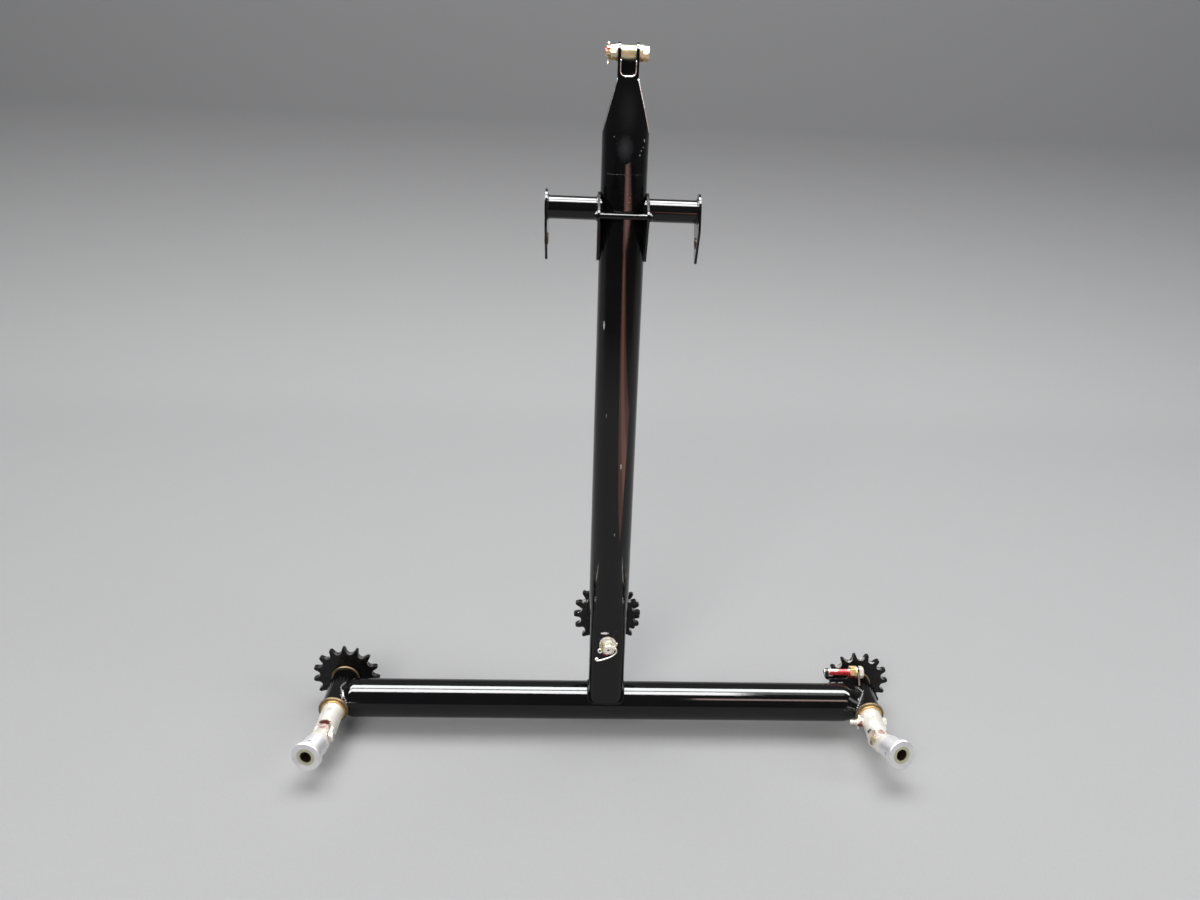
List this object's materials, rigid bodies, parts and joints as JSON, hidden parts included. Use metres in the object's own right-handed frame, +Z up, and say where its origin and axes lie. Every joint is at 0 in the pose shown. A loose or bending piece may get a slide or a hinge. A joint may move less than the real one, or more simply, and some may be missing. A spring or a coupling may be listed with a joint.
{
  "type": "control column",
  "caption": "Welded steel tee control column with a pivot tube, cable fork, chain sprockets, idlers and a universal joint on each wheel shaft.",
  "frame": {"origin": "centre of the pivot bore, on the column's axis", "axes": "+X along the pivot bore to the right wheel shaft, +Y away from the pilot's side, +Z up the column to the cable fork"},
  "size_m": [0.6006, 0.1534, 0.6512],
  "materials": {
    "black_enamel": "gloss baked black paint",
    "black_sprocket": "black finish with bright worn roller seats",
    "cream_plated_steel": "pale cream cadmium plate, satin",
    "yellow_plated_steel": "yellow passivated plate, satin",
    "cotter_steel": "plated wire, dull",
    "plain_steel": "bare ground steel",
    "bare_aluminium": "turned and lightly dulled",
    "bronze": "bearing bronze, oiled"
  },
  "bodies": {
    "column_frame": {"column_tube": "black_enamel", "crossbar_tube": "black_enamel", "column_fork": "black_enamel", "pivot_tube": "black_enamel", "pivot_bush_left": "plain_steel", "pivot_bush_right": "plain_steel", "end_plate_left": "black_enamel", "end_plate_right": "black_enamel", "gusset_plate_left": "black_enamel", "gusset_plate_right": "black_enamel", "plate_bushes": "bronze", "guard_rod": "black_enamel", "guard_clips": "cotter_steel", "bearing_housing_left": "black_enamel", "bearing_housing_right": "black_enamel", "shaft_bushes": "bronze", "fork_bolt": "yellow_plated_steel", "fork_nut": "yellow_plated_steel", "fork_cotter": "cotter_steel", "fork_washers": "yellow_plated_steel", "fork_bushing": "yellow_plated_steel", "idler_bolt": "yellow_plated_steel", "idler_nut": "yellow_plated_steel", "idler_cotter": "cotter_steel", "idler_washers": "yellow_plated_steel", "idler_spacer": "plain_steel", "idler_sleeve": "plain_steel", "stop_bracket": "black_enamel", "stop_bolt": "yellow_plated_steel", "stop_washer": "yellow_plated_steel", "stop_nut": "yellow_plated_steel"},
    "front_idler": {"idler_sprocket_front": "black_sprocket", "idler_bush_front": "bronze"},
    "rear_idler": {"idler_sprocket_rear": "black_sprocket", "idler_bush_rear": "bronze"},
    "left_wheel_drive": {"wheel_shaft_left": "plain_steel", "thrust_washer_left": "bronze", "sprocket_left": "black_sprocket", "sprocket_pin_left": "plain_steel", "inner_yoke_left": "cream_plated_steel", "yoke_pin_left": "plain_steel"},
    "left_joint_cross": {"joint_block_left": "plain_steel", "joint_pins_left": "plain_steel"},
    "left_coupling": {"outer_yoke_left": "cream_plated_steel", "adapter_left": "bare_aluminium", "adapter_pins_left": "plain_steel"},
    "right_wheel_drive": {"wheel_shaft_right": "plain_steel", "thrust_washer_right": "bronze", "sprocket_right": "black_sprocket", "sprocket_pin_right": "plain_steel", "inner_yoke_right": "cream_plated_steel", "yoke_bolt_right": "yellow_plated_steel", "yoke_nut_right": "yellow_plated_steel", "yoke_cotter_right": "cotter_steel"},
    "right_joint_cross": {"joint_block_right": "plain_steel", "joint_pins_right": "plain_steel"},
    "right_coupling": {"outer_yoke_right": "cream_plated_steel", "adapter_right": "bare_aluminium", "adapter_pins_right": "plain_steel"}
  },
  "joints": [
    {"name": "left_wheel_turn", "type": "hinge", "parent": "column_frame", "child": "left_wheel_drive", "pos_m": [-0.2667, 0, -0.48895], "axis": [0, -1, 0], "range_deg": [-110, 110]},
    {"name": "right_wheel_turn", "type": "hinge", "parent": "column_frame", "child": "right_wheel_drive", "pos_m": [0.2667, 0, -0.48895], "axis": [0, -1, 0], "range_deg": [-110, 110]},
    {"name": "left_joint_nod", "type": "hinge", "parent": "left_wheel_drive", "child": "left_joint_cross", "pos_m": [-0.2667, -0.061, -0.48895], "axis": [1, 0, 0], "range_deg": [-18.8, 31.2]},
    {"name": "left_joint_swing", "type": "hinge", "parent": "left_joint_cross", "child": "left_coupling", "pos_m": [-0.2667, -0.061, -0.48895], "axis": [0, 0.108, 0.9942], "range_deg": [-13.8, 36.2]},
    {"name": "right_joint_swing", "type": "hinge", "parent": "right_wheel_drive", "child": "right_joint_cross", "pos_m": [0.2667, -0.061, -0.48895], "axis": [0, 0, 1], "range_deg": [-42.5, 7.5]},
    {"name": "right_joint_nod", "type": "hinge", "parent": "right_joint_cross", "child": "right_coupling", "pos_m": [0.2667, -0.061, -0.48895], "axis": [-0.9537, -0.3007, 0], "range_deg": [-40.2, 9.8]},
    {"name": "front_idler_spin", "type": "hinge", "parent": "column_frame", "child": "front_idler", "pos_m": [0, 0.0346, -0.41095], "axis": [0, -1, 0], "continuous": true},
    {"name": "rear_idler_spin", "type": "hinge", "parent": "column_frame", "child": "rear_idler", "pos_m": [0, 0.0414, -0.41095], "axis": [0, -1, 0], "continuous": true}
  ]
}
